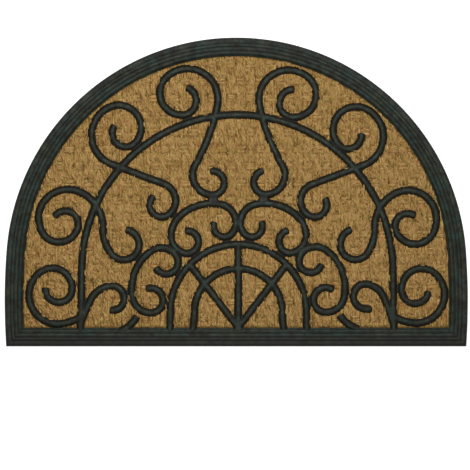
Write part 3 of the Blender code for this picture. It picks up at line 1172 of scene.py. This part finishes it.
    def fibre(self, x: float, y: float, kind: Fibre) -> Strand | None:
        """Return a fibre along the yarn it comes out of, or none where there is no room for it."""
        draw, normal = self.random.uniform, self.random.normal
        length = draw(*kind.value.length)
        level = self.on_tie(x, y) > self.level_from
        upright = 90.0 + self.finish.twist
        heading = normal(0.0, self.level_spread) if level else normal(upright, self.upright_spread)
        shares = np.array([-0.5, -0.18, 0.18, 0.5])
        bow = length * normal(0.0, self.bow) * (1.0 - 4.0 * shares**2)
        along = direction(heading)
        line_x = x + along.x * length * shares - along.y * bow
        line_y = y + along.y * length * shares + along.x * bow
        from_ridge = self.from_ridge(line_x, line_y)
        past_edge = self.from_border(line_x, line_y).min() < draw(*self.over_edge)
        tie = self.on_tie(line_x, line_y)
        astray = kind is Fibre.TUFT and (tie.min() < self.level_to if level else tie.max() > self.upright_to)
        fray = self.frayed * noise.noise(Vector((x, y, 0.0)) / self.frayed_size)
        if past_edge or astray or from_ridge.min() < max(draw(*self.climb) + fray, self.steepest):
            return None
        lift = draw(*kind.value.lift)
        half = draw(*kind.value.half_width) * np.array([self.fibre_taper, 1.0, 1.0, self.fibre_taper])
        line_z = self.cloth_top(line_x, line_y) + np.array([-self.root_depth, lift, lift, -self.root_depth])
        line_z = np.maximum(line_z, self.skirt(from_ridge))
        line = np.stack([line_x, line_y, line_z], axis=1)
        tone = (self.level_tone if level else self.upright_tone) - self.random.gamma(*self.tone_drop)
        # Painted shade: the tufts at the ties' ends are made darker.
        tone -= self.shade_drop * (kind is Fibre.SHADED_TUFT)
        return Strand(line, half, half * self.fibre_flatness, np.full(4, tone))

    def fibres(self, side: Hand, tufts: bool) -> Iterator[Strand]:
        """Yield the tufts or the loose hairs of one side."""
        wanted = self.tuft_count if tufts else self.hair_count
        made = 0
        while made < wanted:
            x = side.value * self.random.uniform(0.0, self.outline.width / 2.0)
            y = self.random.uniform(self.outline.edge_y, self.outline.depth / 2.0)
            strand = self.fibre(x, y, self.tuft(x, y) if tufts else Fibre.HAIR)
            if strand:
                made += 1
                yield strand

    def ground(self) -> Piece:
        """Return the cloth's backing, a flat closed sheet, toned dark as painted shade for the deep gaps
        between the yarns.
        """
        shape = self.outline
        crown = shape.crown_radius - self.inset
        heights = [shape.edge_y + self.inset, shape.widest_y, shape.crown_y]
        heights += [shape.crown_y + crown * math.sin(math.pi * i / 96) for i in range(4, 48)]
        half = [(shape.half_width(y, self.inset), y) for y in heights]
        corners = half + [(0.0, shape.crown_y + crown)] + [(-x, y) for x, y in reversed(half)]
        solid = bmesh.new()
        base = solid.faces.new([solid.verts.new((x, y, self.ground_bottom)) for x, y in corners])
        grown = bmesh.ops.extrude_face_region(solid, geom=[base])
        lifted = [item for item in grown["geom"] if isinstance(item, bmesh.types.BMVert)]
        bmesh.ops.translate(solid, verts=lifted, vec=(0.0, 0.0, self.ground_top - self.ground_bottom))
        bmesh.ops.recalc_face_normals(solid, faces=solid.faces)
        mesh = bpy.data.meshes.new("coir_ground")
        solid.to_mesh(mesh)
        solid.free()
        mark(mesh, "tone", np.full(len(mesh.vertices), self.ground_shade_tone))
        return add_object("coir_ground", mesh)

    def build(self) -> None:
        """Lay the backing, weave the yarns over it and scatter the loose fibres."""
        upright = self.finish.material("coir_upright", False)
        level = self.finish.material("coir_level", True)
        ground = self.ground()
        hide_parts("coir_panel")
        dress(ground, upright, Slot.COIR)
        yarns = [
            bundle("coir_warp", self.warp(), self.yarn_sides),
            bundle("coir_weft", self.weft(), self.yarn_sides),
        ]
        for side in Hand:
            yarns.append(bundle(f"coir_tufts_{side.name.lower()}", self.fibres(side, True), 3))
            yarns.append(bundle(f"coir_hairs_{side.name.lower()}", self.fibres(side, False), 3))
        for piece in yarns:
            dress(piece, level if piece.name == "coir_weft" else upright, Slot.COIR)


@dataclass(frozen=True)
class Studio:
    """A white floor, a soft box above, a second beyond the crown, and a camera straight above."""

    camera_height: float = 6.0
    view_width: float = 0.9282
    aim: Pair = (-0.0025, -0.0850)
    sensor: float = 36.0
    floor_size: float = 14.0
    floor_glow: float = 0.6
    sky: float = 0.49
    soft_box_power: float = 11.2
    soft_box_size: float = 0.9
    soft_box_place: Triple = (-0.03, 0.26, 1.4)
    far_box_power: float = 9.0
    far_box_size: float = 1.2
    far_box_place: Triple = (0.20, 2.2, 1.5)

    def floor(self) -> None:
        """Lay the floor."""
        deselect_all()
        bpy.ops.mesh.primitive_plane_add(size=self.floor_size)
        floor = bpy.context.object
        floor.name = "floor"
        white = Shader("white_floor")
        for name, value in (
            ("Base Color", (0.93, 0.93, 0.93, 1.0)),
            ("Roughness", 0.9),
            ("Specular IOR Level", 0.1),
            ("Emission Color", (1.0, 1.0, 1.0, 1.0)),
            ("Emission Strength", self.floor_glow),
        ):
            white.surface.inputs[name].default_value = value
        floor.data.materials.append(white.material)

    def light(self) -> None:
        """Hang the sky and the two soft boxes."""
        world = bpy.context.scene.world or bpy.data.worlds.new("sky")
        bpy.context.scene.world = world
        world.use_nodes = True
        sky = world.node_tree.nodes["Background"]
        sky.inputs["Color"].default_value = (1.0, 1.0, 1.0, 1.0)
        sky.inputs["Strength"].default_value = self.sky
        self.hang_box("soft_box", self.soft_box_power, self.soft_box_size, self.soft_box_place)
        self.hang_box("far_box", self.far_box_power, self.far_box_size, self.far_box_place)

    def hang_box(self, name: str, power: float, size: float, place: Triple) -> None:
        """Hang a square light that faces the middle of the mat."""
        lamp = bpy.data.lights.new(name, "AREA")
        lamp.energy = power
        lamp.size = size
        box = add_object(name, lamp)
        box.location = place
        box.rotation_euler = Vector(place).to_track_quat("Z", "Y").to_euler()

    def camera(self) -> None:
        """Hang the camera, its top towards the crown."""
        lens = bpy.data.cameras.new("camera")
        lens.sensor_width = self.sensor
        lens.lens = self.sensor * self.camera_height / self.view_width
        camera = add_object("camera", lens)
        camera.location = (*self.aim, self.camera_height)
        bpy.context.scene.camera = camera

    def build(self) -> None:
        """Build the studio and keep its whites white."""
        self.floor()
        self.light()
        self.camera()
        bpy.context.scene.view_settings.view_transform = "Standard"


def main() -> None:
    """Build the dressed mat and its studio."""
    logging.basicConfig(level=logging.INFO, format="%(message)s")
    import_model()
    outline = MatOutline()
    rubber = RubberFinish()
    Studio().build()
    RubberBorder(outline, rubber).build()
    scrollwork = Scrollwork(outline, rubber)
    scrollwork.build()
    CoirPanel(outline, CoirFinish(), scrollwork).build()


if __name__ == "__main__":
    main()
